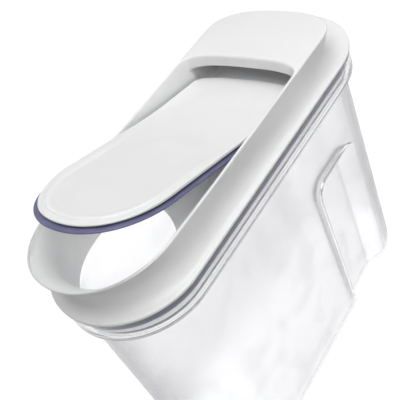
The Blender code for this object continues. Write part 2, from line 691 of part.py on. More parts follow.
def make_lid_tray(finish):
    """Tray that closes the lid under the door and carries the pivot ears."""
    outline = inset_outline(SKIRT_INNER + TRAY_CLEARANCE)
    half_width = outline.half_width
    wall = opening_outline(half_width, NECK_FRONT_INSET + LID_WALL + 2 * GAP, HALF_LENGTH,
                           half_width)
    columns, front_rows, rear_rows = 24, 3, 4
    rows = front_rows + rear_rows
    rest_y, _ = liner_rest_point()
    shape = bmesh.new()
    grid = {}
    for i in range(columns + 1):
        across = -math.cos(math.pi * i / columns)
        x = half_width * across
        front, rear = pour_edge(x, half_width), tray_rear(x, outline)
        for j in range(rows + 1):
            if j < front_rows:
                y = front + (rest_y - front) * j / front_rows
                x = across * wall.reach(y, 1.0, 0.0)[0]
            else:
                y = rest_y + (rear - rest_y) * (j - front_rows) / rear_rows
                x = half_width * across
            z = RIM_HEIGHT + tray_floor(y)
            grid[i, j, 1] = shape.verts.new((x, y, z))
            grid[i, j, 0] = shape.verts.new((x, y, z - TRAY_THICKNESS))
    for i in range(columns):
        for j in range(rows):
            shape.faces.new([grid[i, j, 1], grid[i + 1, j, 1],
                             grid[i + 1, j + 1, 1], grid[i, j + 1, 1]])
            shape.faces.new([grid[i, j, 0], grid[i, j + 1, 0],
                             grid[i + 1, j + 1, 0], grid[i + 1, j, 0]])
    for j in range(rows):
        shape.faces.new([grid[0, j, 0], grid[0, j, 1], grid[0, j + 1, 1], grid[0, j + 1, 0]])
        shape.faces.new([grid[columns, j, 0], grid[columns, j + 1, 0],
                         grid[columns, j + 1, 1], grid[columns, j, 1]])
    for i in range(columns):
        shape.faces.new([grid[i, 0, 0], grid[i + 1, 0, 0], grid[i + 1, 0, 1], grid[i, 0, 1]])
        shape.faces.new([grid[i, rows, 0], grid[i, rows, 1],
                         grid[i + 1, rows, 1], grid[i + 1, rows, 0]])
    tray = finish_mesh("lid_tray", shape)

    step = box("rear_step", (STEP_LEFT_X, STEP_START_Y, RIM_HEIGHT),
               (STEP_RIGHT_X, STEP_END_Y, RIM_HEIGHT + STEP_HEIGHT))
    for vertex in step.data.vertices:
        if vertex.co.z < RIM_HEIGHT + STEP_HEIGHT / 2:
            vertex.co.z += tray_floor(vertex.co.y) - TRAY_THICKNESS / 2
    boolean(tray, step, "UNION")
    inner = boss_span()[1] + GAP
    outer = inner + EAR_THICKNESS
    for side, word in ((1, "right"), (-1, "left")):
        low_x, high_x = sorted((side * inner, side * outer))
        post = box("ear_post_" + word,
                   (low_x, PIVOT.y - BOSS_RADIUS * 0.98,
                    RIM_HEIGHT + tray_floor(PIVOT.y) - TRAY_THICKNESS / 2),
                   (high_x, PIVOT.y + BOSS_RADIUS * 0.98, PIVOT.z))
        crown = rod_along_x("ear_crown_" + word, BOSS_RADIUS, low_x, high_x,
                            PIVOT.y, PIVOT.z)
        bore = rod_along_x("ear_bore_" + word, PIN_RADIUS + GAP, low_x - BOSS_LENGTH,
                           high_x + GAP, PIVOT.y, PIVOT.z)
        boolean(tray, post, "UNION")
        boolean(tray, crown, "UNION")
        boolean(tray, bore, "DIFFERENCE")
    return dress(tray, finish)


def make_hinge_pin(name, side, finish):
    """One pivot pin through an ear and into its boss."""
    inner, outer = boss_span()
    start, end = inner + 3 * GAP, outer + GAP + EAR_THICKNESS
    pin = rod_along_x(name, PIN_RADIUS, -(end - start) / 2, (end - start) / 2)
    pin.location = (side * (start + end) / 2, PIVOT.y, PIVOT.z)
    return dress(pin, finish)


def main():
    for old in list(bpy.data.objects):
        bpy.data.objects.remove(old, do_unlink=True)

    clear = material("clear_plastic", (0.93, 0.93, 0.96), 0.05, alpha=0.35)
    white = material("white_plastic", (0.86, 0.87, 0.86), 0.25)
    white_inner = material("white_inner_plastic", (0.80, 0.80, 0.82), 0.3)
    silicone = material("blue_silicone", (0.16, 0.16, 0.32), 0.4)
    steel = material("pin_metal", (0.6, 0.6, 0.6), 0.3)

    pivot = bpy.data.objects.new("door_pivot", None)
    bpy.context.scene.collection.objects.link(pivot)
    pivot.location = PIVOT
    pivot.rotation_euler = (math.radians(-DOOR_OPEN_ANGLE), 0.0, 0.0)

    make_container(clear)
    make_lid_shell(white)
    make_lid_gasket(silicone)
    make_lid_tray(white_inner)
    make_hinge_pin("hinge_pin_right", 1, steel)
    make_hinge_pin("hinge_pin_left", -1, steel)
    make_door_cover(white, pivot)
    make_door_liner(white_inner, pivot)
    make_door_gasket(silicone, pivot)


main()
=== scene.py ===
"""Studio scene of a pet food bin: clear container, white lid and a rocking pour door.

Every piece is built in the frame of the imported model, in metres: +Z up, the pouring end
towards -Y, the door standing open.
"""
import json
import math

import bmesh
import bpy
import numpy as np
from mathutils import Matrix, Vector


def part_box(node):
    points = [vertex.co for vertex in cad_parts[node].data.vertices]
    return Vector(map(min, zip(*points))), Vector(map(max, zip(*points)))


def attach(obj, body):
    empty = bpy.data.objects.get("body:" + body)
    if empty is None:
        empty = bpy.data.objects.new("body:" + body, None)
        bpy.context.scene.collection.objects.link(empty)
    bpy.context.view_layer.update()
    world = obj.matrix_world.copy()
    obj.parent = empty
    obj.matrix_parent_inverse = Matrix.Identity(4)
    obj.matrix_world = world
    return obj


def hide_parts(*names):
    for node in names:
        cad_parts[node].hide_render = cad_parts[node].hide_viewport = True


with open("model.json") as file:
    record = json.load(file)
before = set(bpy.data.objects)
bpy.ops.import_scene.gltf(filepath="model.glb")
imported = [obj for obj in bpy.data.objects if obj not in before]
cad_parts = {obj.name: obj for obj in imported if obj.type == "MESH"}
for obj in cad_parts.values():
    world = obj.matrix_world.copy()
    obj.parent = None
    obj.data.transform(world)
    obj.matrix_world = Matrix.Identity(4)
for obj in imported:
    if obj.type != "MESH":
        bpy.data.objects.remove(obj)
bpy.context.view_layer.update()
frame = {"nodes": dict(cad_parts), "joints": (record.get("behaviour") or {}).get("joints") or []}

MM = 0.001

# ---- camera ----------------------------------------------------------------------
CAMERA_PLACE = (0.254433, -0.210451, 0.451264)
CAMERA_RIGHT = (0.7721, 0.5305, -0.3499)
CAMERA_UP = (-0.1972, 0.7234, 0.6617)
CAMERA_BACK = (0.6041, -0.4419, 0.6632)
CAMERA_LENS = 61.283


def make_camera():
    """The camera, looking down over the pouring end's right side."""
    data = bpy.data.cameras.new("camera")
    data.lens = CAMERA_LENS
    data.sensor_width = 36.0
    camera = bpy.data.objects.new("camera", data)
    turn = Matrix((CAMERA_RIGHT, CAMERA_UP, CAMERA_BACK)).transposed().to_4x4()
    camera.matrix_world = Matrix.Translation(CAMERA_PLACE) @ turn
    bpy.context.scene.collection.objects.link(camera)
    bpy.context.scene.camera = camera


make_camera()

# ---- sizes -----------------------------------------------------------------------
# Clearances
GAP = 0.3 * MM               # between pieces that touch or run on each other
REST_GAP = 0.4 * MM          # door to its open stop
TRAY_CLEARANCE = 1.0 * MM    # tray to the skirt around it

# Container
COLLAR_INSET = 1.2 * MM
COLLAR_HEIGHT = 15.9 * MM
COLLAR_WALL = 2.2 * MM
SHOULDER_THICKNESS = 2.0 * MM
BODY_INSET = 7.2 * MM
CONTAINER_WALL = 2.0 * MM
FLOOR_THICKNESS = 2.5 * MM
BASE_RADIUS = 3.5 * MM
BEND_RADIUS = 1.0 * MM       # at the shoulder

# Hand grips
GRIP_FRONT_Y = 34.3 * MM
GRIP_LENGTH = 49.7 * MM
GRIP_DEPTH = 6.3 * MM
GRIP_TOP_BELOW_RIM = 62.9 * MM
GRIP_CORNER = 12.0 * MM
GRIP_REAR_SLOPE = 16.0 * MM
GRIP_SLOPE_SHARE = 0.94      # how much of the slope's full height is reached over it
GRIP_STEP_RUN = 1.0 * MM
GRIP_SURROUND = 3.0 * MM     # fine mesh round a grip

# Overall outline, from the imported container
_, CONTAINER_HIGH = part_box("container")
HALF_WIDTH = CONTAINER_HIGH.x + COLLAR_INSET
HALF_LENGTH = CONTAINER_HIGH.y + COLLAR_INSET
RIM_HEIGHT = CONTAINER_HIGH.z + GAP
END_ROUNDNESS = 0.956        # depth of a round end as a share of its half width

# Lid shell
FLANGE_EDGE = 2.4 * MM
NECK_HEIGHT = 13.0 * MM
LIP_HEIGHT = 26.3 * MM
SPOUT_RISE = 3.6 * MM
NECK_INSETS = (6.4 * MM, 11.3 * MM, 30.5 * MM)    # side, front, rear
LIP_INSETS = (4.6 * MM, -1.1 * MM, 28.0 * MM)
PANEL_END_DEPTH = 25.0 * MM
PANEL_END_POWER = 2.6
SPOUT_END_DEPTH = 48.6 * MM
SPOUT_END_POWER = 2.1
NECK_SHAPE = 0.6             # of the way from the flange's outline to the lip's
LID_WALL = 1.4 * MM
LIP_WALL = 2.0 * MM
LIP_ROUNDING = 0.8 * MM
PANEL_THICKNESS = 2.0 * MM
PANEL_ROUNDING = 1.6 * MM
APRON_HEIGHT = 8.3 * MM
APRON_DEPTH = 14.0 * MM
APRON_POWER = 3.0
SOFFIT_STEP = 0.7 * MM
WALL_STEP = 1.2 * MM         # between rings down the inside of the wall
NECK_MARGIN = 0.8 * MM       # last of them over the neck
SKIRT_DEPTH = 12.5 * MM
SKIRT_WALL = 1.2 * MM
BEAD = 0.5 * MM
GASKET_TOP_BELOW_RIM = 1.4 * MM
GASKET_HEIGHT = 6.0 * MM

# Door
PIVOT = Vector(next(j["pos_m"] for j in frame["joints"] if j["name"] == "door_rock"))
DOOR_OVER_PIVOT = 9.0 * MM
DOOR_OPEN_ANGLE = 18.0       # degrees
DOOR_FRONT_LENGTH = 116.0 * MM
DOOR_REAR_LENGTH = 53.2 * MM
DOOR_HALF_WIDTH = 39.5 * MM
DOOR_FRONT_DEPTH = 44.5 * MM
DOOR_FRONT_POWER = 2.17
DOOR_REAR_DEPTH = 11.0 * MM
DOOR_REAR_POWER = 2.8
DOOR_BEND = 6.0              # degrees that the rear leans up
DOOR_BEND_RUN = 15.0 * MM
COVER_THICKNESS = 2.2 * MM
LEDGE_WIDTH = 3.8 * MM       # low ledge round the front of the cover
LEDGE_DEPTH = 0.9 * MM
LEDGE_RUN_OUT = (18.0 * MM, 44.0 * MM)   # from the front tip, where it fades out
RISER_RUN = 0.6 * MM
CREST_WIDTH = 0.7 * MM
DISH_RUN = 4.4 * MM          # slope from the crest down to the dished middle
DISH_DEPTH = 0.8 * MM
DISH_RUN_OUT = (56.0 * MM, 121.0 * MM)
SEAL_THICKNESS = 2.1 * MM
SEAL_REACH = (2.3 * MM, 3.2 * MM, 0.9 * MM)       # side, front, rear
SEAL_NECK_INSET = 1.6 * MM
SEAL_NECK_HEIGHT = 0.9 * MM
LINER_INSET = 3.0 * MM
LINER_THICKNESS = 2.7 * MM
PLATEAU_INSET = 8.0 * MM
PIN_RADIUS = 1.6 * MM
BOSS_RADIUS = 4.0 * MM
BOSS_LENGTH = 3.4 * MM
EAR_THICKNESS = 2.6 * MM
APRON_CLEARANCE = 2.6 * MM

# Tray under the door
TRAY_THICKNESS = 2.0 * MM
TRAY_FRONT_Y = -54.7 * MM
TRAY_UNDER_DOOR = 1.54 * MM
TRAY_UNDER_BOSS = 1.07 * MM
POUR_EDGE_DEPTH = 33.0 * MM
POUR_EDGE_POWER = 1.55
TRAY_REAR_HEIGHT = -5.0 * MM
STEP_LEFT_X = -31.5 * MM
STEP_RIGHT_X = 38.0 * MM
STEP_LEAD = 1.0 * MM         # how far the step starts in front of the apron
STEP_SHARE = 0.26            # its length behind the apron, as a share of the space there
STEP_HEIGHT = 3.5 * MM

# Mesh fineness
CREASE_ANGLE = 40.0          # degrees
TRAY_CREASE_ANGLE = 35.0
END_STEPS = 64
CONTAINER_END_STEPS = 48
SIDE_STEPS = 24
ARC_STEPS = 5

# Values that follow
FRONT_RAY_Y = -HALF_LENGTH + HALF_WIDTH
REAR_RAY_Y = PIVOT.y + DOOR_REAR_LENGTH * 0.75
COLLAR_INNER = COLLAR_INSET + COLLAR_WALL
SKIRT_INNER = NECK_INSETS[0] + LID_WALL
SKIRT_GROOVE = SKIRT_INNER - SKIRT_WALL
APRON_Y = PIVOT.y + DOOR_REAR_LENGTH + APRON_CLEARANCE
STEP_START_Y = APRON_Y - STEP_LEAD
STEP_END_Y = APRON_Y + STEP_SHARE * (HALF_LENGTH - APRON_Y)
PIVOT_HEIGHT = PIVOT.z - RIM_HEIGHT
LINER_LOW = COVER_THICKNESS + SEAL_THICKNESS + 2 * GAP + LINER_THICKNESS


# ---- outlines --------------------------------------------------------------------
class Outline:
    """A long closed outline: straight sides with a superellipse end at front and rear."""

    def __init__(self, half_width, front_y, rear_y, front_depth, rear_depth,
                 front_power=2.0, rear_power=2.0):
        self.half_width = half_width
        self.front = (front_y, front_depth, front_power)
        self.rear = (rear_y, rear_depth, rear_power)

    def level(self, x, y):
        """Below 1 inside the outline, 1 on it; x and y are arrays."""
        across = np.abs(x) / self.half_width
        value = across.copy()
        for (end_y, depth, power), sign in ((self.front, -1.0), (self.rear, 1.0)):
            along = sign * (y - end_y) / depth + 1.0
            ends = along > 0.0
            value[ends] = across[ends] ** power + along[ends] ** power
        return value

    def cut(self, rays):
        """Where each ray (origin y, direction x, direction y) crosses the outline."""
        near = np.zeros(len(rays))
        far = np.full(len(rays), 4.0 * (abs(self.front[0]) + abs(self.rear[0])))
        for _ in range(48):
            middle = (near + far) / 2
            inside = self.level(rays[:, 1] * middle, rays[:, 0] + rays[:, 2] * middle) < 1.0
            near = np.where(inside, middle, near)
            far = np.where(inside, far, middle)
        return np.stack([rays[:, 1] * near, rays[:, 0] + rays[:, 2] * near], axis=1)


def outline_rays(front_y, rear_y, side_ys, end_steps):
    """Rays round the rear end, down the left side, round the front and up the right."""
    turn = np.linspace(0.0, math.pi, end_steps + 1)
    rays = [(rear_y, math.cos(a), math.sin(a)) for a in turn]
    rays += [(y, -1.0, 0.0) for y in side_ys[::-1]]
    rays += [(front_y, math.cos(a), math.sin(a)) for a in turn + math.pi]
    rays += [(y, 1.0, 0.0) for y in side_ys]
    return np.array(rays)


def even_rays(front_y, rear_y, side_steps):
    """Rays with stations evenly spaced along the sides."""
    side_ys = np.linspace(front_y, rear_y, side_steps + 1)[1:-1]
    return outline_rays(front_y, rear_y, side_ys, END_STEPS)


def inset_outline(inset):
    """The flange's outline moved in by the same amount all round."""
    half_width = HALF_WIDTH - inset
    depth = half_width * END_ROUNDNESS
    return Outline(half_width, -HALF_LENGTH + inset, HALF_LENGTH - inset, depth, depth)


def rounding(radius, steps=ARC_STEPS, turn=math.pi / 2):
    """Steps round an edge: what is left to go one way, and what is gone the other way."""
    return [(radius * (1 - math.sin(angle)), radius * (1 - math.cos(angle)))
            for angle in np.linspace(0.0, turn, steps)]


def smooth_step(value):
    """0 below 0, 1 above 1, with soft shoulders."""
    share = np.clip(value, 0.0, 1.0)
    return share * share * (3.0 - 2.0 * share)


# ---- mesh helpers ----------------------------------------------------------------
def new_object(name, mesh):
    """A linked object that holds a mesh."""
    made = bpy.data.objects.new(name, mesh)
    bpy.context.scene.collection.objects.link(made)
    return made


def shade(mesh, crease=CREASE_ANGLE):
    """Smooth shading with sharp edges above an angle."""
    mesh.shade_smooth()
    mesh.set_sharp_from_angle(angle=math.radians(crease))


def finish_mesh(name, shape):
    """Turn a bmesh into a smooth-shaded object with outward faces."""
    bmesh.ops.recalc_face_normals(shape, faces=shape.faces)
    mesh = bpy.data.meshes.new(name)
    shape.to_mesh(mesh)
    shape.free()
    shade(mesh)
    return new_object(name, mesh)


def skin(shape, rows, closed_loop=False):
    """Quads between neighbouring rings of vertices."""
    count = len(rows[0])
    pairs = list(zip(rows[:-1], rows[1:]))
    if closed_loop:
        pairs.append((rows[-1], rows[0]))
    for lower, upper in pairs:
        for i in range(count):
            j = (i + 1) % count
            shape.faces.new((lower[i], lower[j], upper[j], upper[i]))


def cap_across(shape, row, middle):
    """Close a ring with strips straight across it; middle is the station at the rear."""
    count = len(row)
    for step in range(count // 2):
        near_left, far_left = (middle + step) % count, (middle + step + 1) % count
        near_right, far_right = (middle - step) % count, (middle - step - 1) % count
        corners = []
        for index in (near_left, far_left, far_right, near_right):
            if row[index] not in corners:
                corners.append(row[index])
        if len(corners) > 2:
            shape.faces.new(corners)


def loft(name, rings, closed_loop=False, middle=END_STEPS // 2):
    """Skin rings of points; both ends are capped unless the rings join in a loop."""
    shape = bmesh.new()
    rows = [[shape.verts.new(point) for point in ring] for ring in rings]
    skin(shape, rows, closed_loop)
    if not closed_loop:
        cap_across(shape, rows[0], middle)
        cap_across(shape, rows[-1], middle)
    return finish_mesh(name, shape)


def as_plain_mesh(made):
    """Apply an object's modifiers and drop them."""
    graph = bpy.context.evaluated_depsgraph_get()
    mesh = bpy.data.meshes.new_from_object(made.evaluated_get(graph))
    made.modifiers.clear()
    old = made.data
    made.data = mesh
    bpy.data.meshes.remove(old)


def rounded_block(name, low, high, radius):
    """A block between two corners with rounded edges."""
    shape = bmesh.new()
    bmesh.ops.create_cube(shape, size=1.0)
    low, high = Vector(low), Vector(high)
    for vert in shape.verts:
        vert.co = Vector(low[i] + (vert.co[i] + 0.5) * (high[i] - low[i]) for i in range(3))
    bmesh.ops.bevel(shape, geom=shape.edges[:], offset=radius, segments=3, profile=0.5,
                    affect="EDGES")
    return finish_mesh(name, shape)


def rod_along_x(name, radius, start_x, end_x, y, z):
    """A cylinder along X, as a tool for joining or boring."""
    shape = bmesh.new()
    place = Matrix.Translation(((start_x + end_x) / 2, y, z))
    bmesh.ops.create_cone(shape, cap_ends=True, segments=48, radius1=radius,
                          radius2=radius, depth=abs(end_x - start_x),
                          matrix=place @ Matrix.Rotation(math.pi / 2, 4, "Y"))
    return finish_mesh(name, shape)


def combine(target, tool, operation):
    """Join a tool to a piece, or cut it away, and remove the tool."""
    change = target.modifiers.new("combine", "BOOLEAN")
    change.operation = operation
    change.solver = "EXACT"
    change.object = tool
    as_plain_mesh(target)
    bpy.data.objects.remove(tool, do_unlink=True)


# ---- node helpers ----------------------------------------------------------------
def feed(join, node, values):
    """Set a node's first inputs, each from a number or another node's output."""
    for socket, value in zip(node.inputs, values):
        if isinstance(value, float):
            socket.default_value = value
        else:
            join(value, socket)


def calculate(add, join, operation, first, second):
    """The result of a maths node."""
    node = add("ShaderNodeMath")
    node.operation = operation
    feed(join, node, (first, second))
    return node.outputs[0]


# ---- container -------------------------------------------------------------------
def grip_depth(y, z, margin):
    """How far a grip sinks the wall at a place on the long side."""
    front = GRIP_FRONT_Y - margin
    rear = GRIP_FRONT_Y + GRIP_LENGTH + margin
    top = RIM_HEIGHT - GRIP_TOP_BELOW_RIM + margin
    corner = GRIP_CORNER + margin
    past_y = np.maximum(np.maximum(front + corner - y, y - rear + corner), 0.0)
    past_z = np.maximum(z - top + corner, 0.0)
    inside = corner - np.hypot(past_y, past_z)
    straight = np.minimum(np.minimum(y - front, rear - y), top - z)
    inside = np.where((past_y > 0) & (past_z > 0), inside, straight)
    step = smooth_step(inside / GRIP_STEP_RUN)
    slope = smooth_step((rear - y) / GRIP_REAR_SLOPE * GRIP_SLOPE_SHARE)
    return GRIP_DEPTH * np.minimum(step, slope)


def container_rays():
    """Stations close together where the grips have their crisp edges."""
    front = GRIP_FRONT_Y - GRIP_SURROUND
    corner_end = GRIP_FRONT_Y + GRIP_CORNER + 2 * MM
    slope_start = GRIP_FRONT_Y + GRIP_LENGTH - GRIP_REAR_SLOPE
    rear = GRIP_FRONT_Y + GRIP_LENGTH + GRIP_SURROUND
    side_ys = np.concatenate([
        np.linspace(FRONT_RAY_Y, front, 14)[1:-1],
        np.arange(front, corner_end, 0.45 * MM),
        np.arange(corner_end, slope_start, 1.6 * MM),
        np.arange(slope_start, rear, 0.9 * MM)])
    return outline_rays(FRONT_RAY_Y, rear, side_ys, CONTAINER_END_STEPS)


def container_heights(low, high):
    """Levels up the wall, close together round the tops of the grips."""
    top = RIM_HEIGHT - GRIP_TOP_BELOW_RIM
    corner_low = top - GRIP_CORNER - 1 * MM
    corner_high = top + GRIP_SURROUND
    return np.concatenate([
        np.linspace(low, corner_low, 26)[:-1],
        np.arange(corner_low, corner_high, 0.5 * MM),
        np.linspace(corner_high, high, 12)])


def container_ring(rays, inset, height, margin):
    """One level of the wall with the grips sunk into both sides."""
    points = inset_outline(inset).cut(rays)
    x, y = points[:, 0], points[:, 1]
    sunk = grip_depth(y, np.full(len(y), height), margin)
    x = np.sign(x) * np.maximum(np.abs(x) - sunk * (np.abs(x) > HALF_WIDTH / 2), 0.0)
    return [Vector((px, py, height)) for px, py in zip(x, y)]


def make_container():
    """Clear container: straight wall with grips, outward shoulder and collar."""
    rays = container_rays()
    shoulder = RIM_HEIGHT - COLLAR_HEIGHT
    ledge = shoulder + SHOULDER_THICKNESS
    rim = RIM_HEIGHT - GAP
    rim_radius = COLLAR_WALL / 2
    wall_inset = BODY_INSET + CONTAINER_WALL
    inner_radius = BASE_RADIUS - CONTAINER_WALL / 2
    levels = []    # inset, height, how far the grips reach beyond their outline

    def level(inset, height, margin=0.0):
        levels.append((inset, height, margin))

    # Outside, from the floor up
    for across, up in rounding(BASE_RADIUS, 7):
        level(BODY_INSET + across, up)
    for height in container_heights(BASE_RADIUS, shoulder - BEND_RADIUS)[1:]:
        level(BODY_INSET, height)
    for down, across in rounding(BEND_RADIUS)[1:]:
        level(BODY_INSET - across, shoulder - down)
    for across, up in rounding(BEND_RADIUS):
        level(COLLAR_INSET + across, shoulder + up)
    for height in np.linspace(shoulder + BEND_RADIUS, rim - rim_radius, 6)[1:-1]:
        level(COLLAR_INSET, height)

    # Over the rounded rim and down the inside
    for down, across in rounding(rim_radius, 9, math.pi):
        level(COLLAR_INSET + across, rim - down)
    for height in np.linspace(rim - rim_radius, ledge + BEND_RADIUS, 5)[1:-1]:
        level(COLLAR_INNER, height)
    for up, across in rounding(BEND_RADIUS):
        level(COLLAR_INNER + across, ledge + up)
    for across, down in rounding(BEND_RADIUS):
        level(wall_inset - across, ledge - down)
    inner_heights = container_heights(FLOOR_THICKNESS + inner_radius, ledge - BEND_RADIUS)
    for height in inner_heights[::-1][1:]:
        level(wall_inset, height, CONTAINER_WALL)
    for across, up in rounding(inner_radius, 7)[::-1][1:]:
        level(wall_inset + across, FLOOR_THICKNESS + up, CONTAINER_WALL)
    rings = [container_ring(rays, *one) for one in levels]
    return loft("clear_container", rings, middle=CONTAINER_END_STEPS // 2)


# ---- lid shell -------------------------------------------------------------------
LID_RAYS = even_rays(FRONT_RAY_Y, REAR_RAY_Y, SIDE_STEPS)


def lid_outline(insets, shape):
    """A lid outline from its three insets; shape runs from 0, the flange, to 1, the lip."""
    side, front, rear = insets
    half_width = HALF_WIDTH - side
    round_depth = half_width * END_ROUNDNESS
    return Outline(half_width, -HALF_LENGTH + front, HALF_LENGTH - rear,
                   round_depth + (SPOUT_END_DEPTH - round_depth) * shape,
                   round_depth + (PANEL_END_DEPTH - round_depth) * shape,
                   2.0 + (SPOUT_END_POWER - 2.0) * shape,
                   2.0 + (PANEL_END_POWER - 2.0) * shape)


def lid_ring(outline, height, rise_share=0.0):
    """A ring over the rim that takes its share of the spout's rise."""
    points = outline.cut(LID_RAYS)
    rise = SPOUT_RISE * np.maximum(0.0, -points[:, 1] / (HALF_LENGTH - LIP_INSETS[1])) ** 2
    heights = RIM_HEIGHT + height + rise_share * rise
    return np.column_stack([points, heights])


def rear_weights():
    """0 along the sides and front, 1 round the rear, for each station of the lid."""
    stations = np.arange(len(LID_RAYS))
    angle = 180.0 * np.minimum(stations, END_STEPS - stations) / END_STEPS
    weights = smooth_step((angle - 8.0) / 12.0)
    weights[stations > END_STEPS] = 0.0
    return weights[:, None]


def between(start, end, share):
    """Three insets part of the way from one set to another."""
    return tuple(low + (high - low) * share for low, high in zip(start, end))


def flare_insets(share):
    """Insets between the neck, 0, and the lip, 1."""
    return between(NECK_INSETS, LIP_INSETS, max(share, 0.0) ** 1.8)


def flare_shape(share):
    """Shape of the lid's outline between the neck, 0, and the lip, 1."""
    return NECK_SHAPE + (1.0 - NECK_SHAPE) * share


def opening_outline(half_width, front_inset, rear_y, rear_depth=APRON_DEPTH):
    """Outline of the door's opening at some height."""
    return Outline(half_width, -HALF_LENGTH + front_inset, rear_y,
                   SPOUT_END_DEPTH - LIP_WALL, rear_depth, SPOUT_END_POWER, APRON_POWER)


def lid_outside():
    """Flange, concave fillet, flared wall and rounded lip, from below."""
    edge = 0.8 * MM
    flare = LIP_HEIGHT - NECK_HEIGHT
    rings = [lid_ring(lid_outline((across,) * 3, 0.0), up)
             for across, up in rounding(edge)]
    rings += [lid_ring(lid_outline((across,) * 3, 0.0), FLANGE_EDGE - down)
              for down, across in rounding(edge)]
    for angle in np.linspace(0.0, math.pi / 2, 16):
        insets = between((FLANGE_EDGE,) * 3, NECK_INSETS, math.sin(angle))
        rings.append(lid_ring(lid_outline(insets, NECK_SHAPE * math.sin(angle)),
                              FLANGE_EDGE + (NECK_HEIGHT - FLANGE_EDGE)
                              * (1 - math.cos(angle))))
    lip_start = 1.0 - LIP_ROUNDING / flare
    for share in np.linspace(0.0, lip_start, 12)[1:]:
        rings.append(lid_ring(lid_outline(flare_insets(share), flare_shape(share)),
                              NECK_HEIGHT + flare * share, share))
    for angle in np.linspace(0.0, math.pi / 2, ARC_STEPS)[1:]:
        share = lip_start + (1.0 - lip_start) * math.sin(angle)
        across = LIP_ROUNDING * (1 - math.cos(angle))
        insets = tuple(inset + across for inset in flare_insets(lip_start))
        rings.append(lid_ring(lid_outline(insets, flare_shape(lip_start)),
                              NECK_HEIGHT + flare * share, share))
    return rings


def inner_wall(height):
    """Half width and front inset of the wall's inside, and its share of the flare."""
    share = max((height - NECK_HEIGHT) / (LIP_HEIGHT - NECK_HEIGHT), 0.0)
    side, front, _ = flare_insets(share)
    wall = LID_WALL + (LIP_WALL - LID_WALL) * share ** 2
    return HALF_WIDTH - side - wall, front + wall, share


def inner_ring(height):
    """A ring on the wall's inside, closed by the apron at the rear."""
    half, front, share = inner_wall(height)
    return lid_ring(opening_outline(half, front, APRON_Y), height, share)


def lid_inside():
    """Opening edge, apron, hollow under the panel and the skirt, from above."""
    half, mouth_front, _ = inner_wall(LIP_HEIGHT)
    apron_low = LIP_HEIGHT - APRON_HEIGHT
    low_half, low_front, _ = inner_wall(apron_low)
    weights = rear_weights()
    rings = []

    # Rounded inner edge of the lip, wider over the panel's front edge
    for across, down in rounding(1.0, 7):
        lip = lid_ring(opening_outline(half + LIP_ROUNDING * across,
                                       mouth_front - LIP_ROUNDING * across, APRON_Y),
                       LIP_HEIGHT - LIP_ROUNDING * down, 1.0)
        panel = lid_ring(opening_outline(half, mouth_front,
                                         APRON_Y + PANEL_ROUNDING * across),
                         LIP_HEIGHT - PANEL_ROUNDING * down, 1.0)
        rings.append(lip + (panel - lip) * weights)
    for height in np.linspace(LIP_HEIGHT - PANEL_ROUNDING, apron_low, 8)[1:]:
        rings.append(inner_ring(height))

    # Behind the apron and under the panel round the rear; down the wall elsewhere
    behind = opening_outline(low_half, low_front, APRON_Y + LIP_WALL)
    roof = LIP_HEIGHT - PANEL_THICKNESS
    lip_side, _, lip_rear = LIP_INSETS
    neck_rear = NECK_INSETS[2]
    rear_path = [
        (behind, apron_low),
        (behind, roof),
        (lid_outline((lip_side + LIP_WALL, 0.0, lip_rear + LIP_WALL), 1.0), roof),
        (lid_outline((SKIRT_INNER, 0.0, neck_rear + LIP_WALL), NECK_SHAPE),
         NECK_HEIGHT - SOFFIT_STEP),
        (lid_outline((SKIRT_INNER, 0.0, neck_rear * 0.72), 0.35), NECK_HEIGHT * 0.32),
        (lid_outline((SKIRT_INNER, 0.0, SKIRT_INNER), 0.0), SOFFIT_STEP)]
    side_heights = (apron_low - WALL_STEP, apron_low - 2 * WALL_STEP,
                    NECK_HEIGHT + NECK_MARGIN, NECK_HEIGHT - SOFFIT_STEP,
                    NECK_HEIGHT * 0.5, SOFFIT_STEP)
    for (outline, height), side_height in zip(rear_path, side_heights):
        side_ring = inner_ring(side_height)
        rings.append(side_ring + (lid_ring(outline, height) - side_ring) * weights)
    half_here, front_here, _ = inner_wall(0.0)
    foot = opening_outline(half_here, front_here, HALF_LENGTH - SKIRT_INNER,
                           half_here * END_ROUNDNESS)
    foot.rear = (*foot.rear[:2], 2.0)
    rings.append(lid_ring(foot, -SKIRT_DEPTH))
    return rings


def skirt_outside():
    """Outside of the skirt with the gasket's groove, from below."""
    groove_low = -GASKET_TOP_BELOW_RIM - GASKET_HEIGHT - 2 * GAP
    groove = inset_outline(SKIRT_GROOVE)
    bead = inset_outline(SKIRT_GROOVE - BEAD)
    tip = inset_outline(SKIRT_GROOVE - BEAD / 2)
    return [lid_ring(tip, -SKIRT_DEPTH), lid_ring(bead, -SKIRT_DEPTH + BEAD / 2),
            lid_ring(bead, groove_low - BEAD), lid_ring(groove, groove_low),
            lid_ring(groove, 0.0)]


def make_lid_shell():
    """White shell: flange, raised wall, spout, rear panel and skirt in one moulding."""
    rings = lid_outside() + lid_inside() + skirt_outside()
    return loft("white_lid_shell", rings, closed_loop=True)


